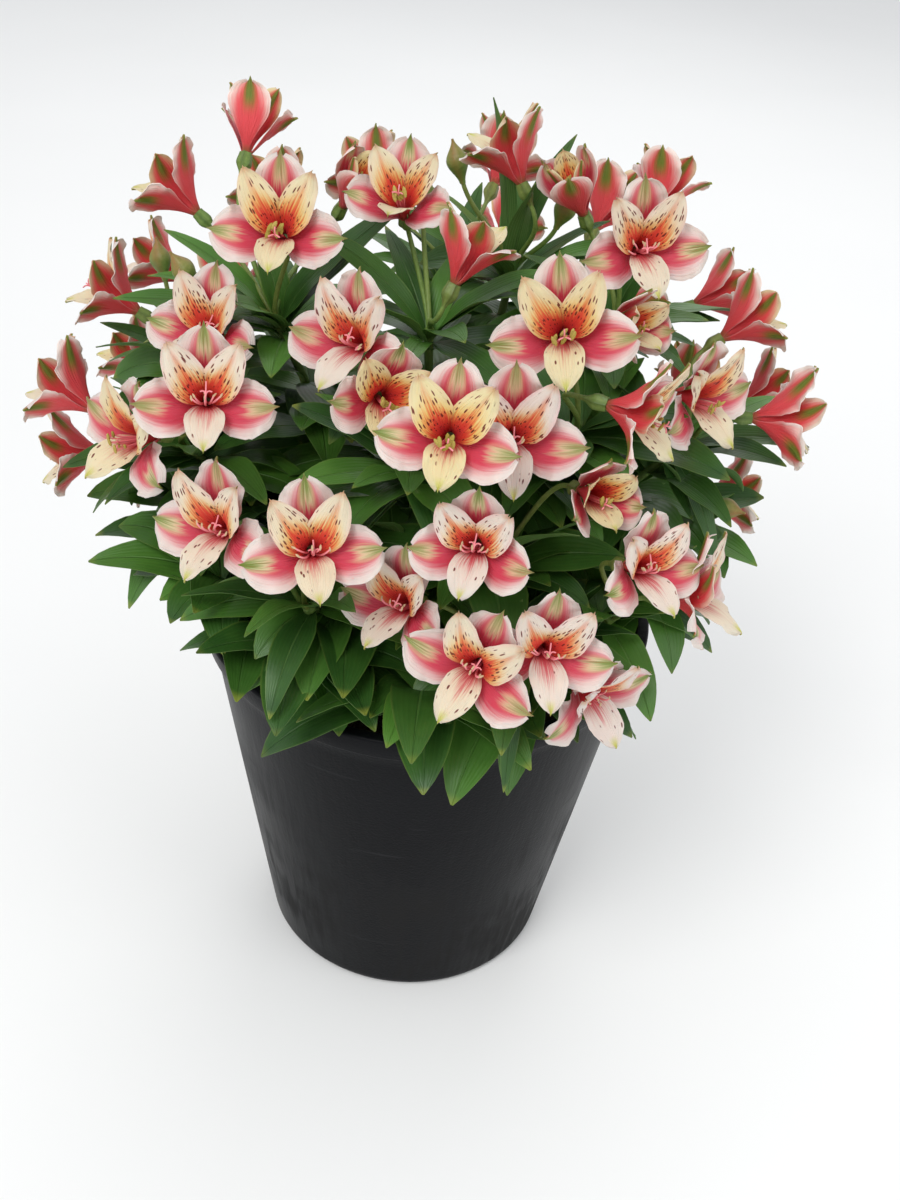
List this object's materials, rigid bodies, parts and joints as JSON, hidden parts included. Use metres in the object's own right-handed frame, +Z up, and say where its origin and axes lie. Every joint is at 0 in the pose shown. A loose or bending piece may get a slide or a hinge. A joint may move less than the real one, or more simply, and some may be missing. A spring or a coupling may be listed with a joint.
{
  "type": "potted peruvian lily",
  "caption": "Bushy Peruvian lily in flower, pink and cream freckled trumpet blooms over glossy leaves, in a plain tapered black nursery pot",
  "frame": {"origin": "centre of the pot's flat underside, on the surface that the pot stands on", "axes": "+Z up the pot's axis; -Y is the best side, with the most blooms; +X to the right of someone facing that side"},
  "size_m": [0.3247, 0.3192, 0.4121],
  "materials": {
    "pot": "black moulded polypropylene, satin, faintly scuffed",
    "soil": "moist crumbly potting mix",
    "leaf": "glossy fresh leaf with lengthwise veins",
    "petal": "satin petal, pink and cream with dark streaks and green tips",
    "stalk": "satin green flower stalk and seed case",
    "stamen": "matt olive anthers on pink filaments"
  },
  "bodies": {
    "root": {"leafy_stem_back_high": "leaf", "leafy_stem_back_low": "leaf", "leafy_stem_centre": "leaf", "leafy_stem_centre_right": "leaf", "leafy_stem_left": "leaf", "leafy_stem_left_back": "leaf", "leafy_stem_left_far_high": "leaf", "leafy_stem_left_far_low": "leaf", "leafy_stem_low_middle": "leaf", "leafy_stem_low_right_side": "leaf", "leafy_stem_lower_left": "leaf", "leafy_stem_lower_right": "leaf", "leafy_stem_right": "leaf", "leafy_stem_right_back": "leaf", "leafy_stem_right_far": "leaf", "leafy_stem_shoot_01": "leaf", "leafy_stem_shoot_02": "leaf", "leafy_stem_shoot_03": "leaf", "leafy_stem_shoot_04": "leaf", "leafy_stem_shoot_05": "leaf", "leafy_stem_shoot_06": "leaf", "leafy_stem_shoot_07": "leaf", "leafy_stem_shoot_08": "leaf", "leafy_stem_shoot_09": "leaf", "leafy_stem_shoot_10": "leaf", "leafy_stem_shoot_11": "leaf", "leafy_stem_shoot_12": "leaf", "leafy_stem_shoot_13": "leaf", "leafy_stem_shoot_14": "leaf", "leafy_stem_top_left": "leaf", "leafy_stem_top_middle": "leaf", "leafy_stem_top_right": "leaf", "leafy_stem_upper_middle": "leaf", "pot": "pot", "soil": "soil", "umbel_back_high": "petal", "umbel_back_low": "petal", "umbel_centre": "petal", "umbel_centre_right": "petal", "umbel_left": "petal", "umbel_left_back": "petal", "umbel_left_far_high": "petal", "umbel_left_far_low": "petal", "umbel_low_middle": "petal", "umbel_low_right_side": "petal", "umbel_lower_left": "petal", "umbel_lower_right": "petal", "umbel_right": "petal", "umbel_right_back": "petal", "umbel_right_far": "petal", "umbel_top_left": "petal", "umbel_top_middle": "petal", "umbel_top_right": "petal", "umbel_upper_middle": "petal"}
  },
  "joints": []
}
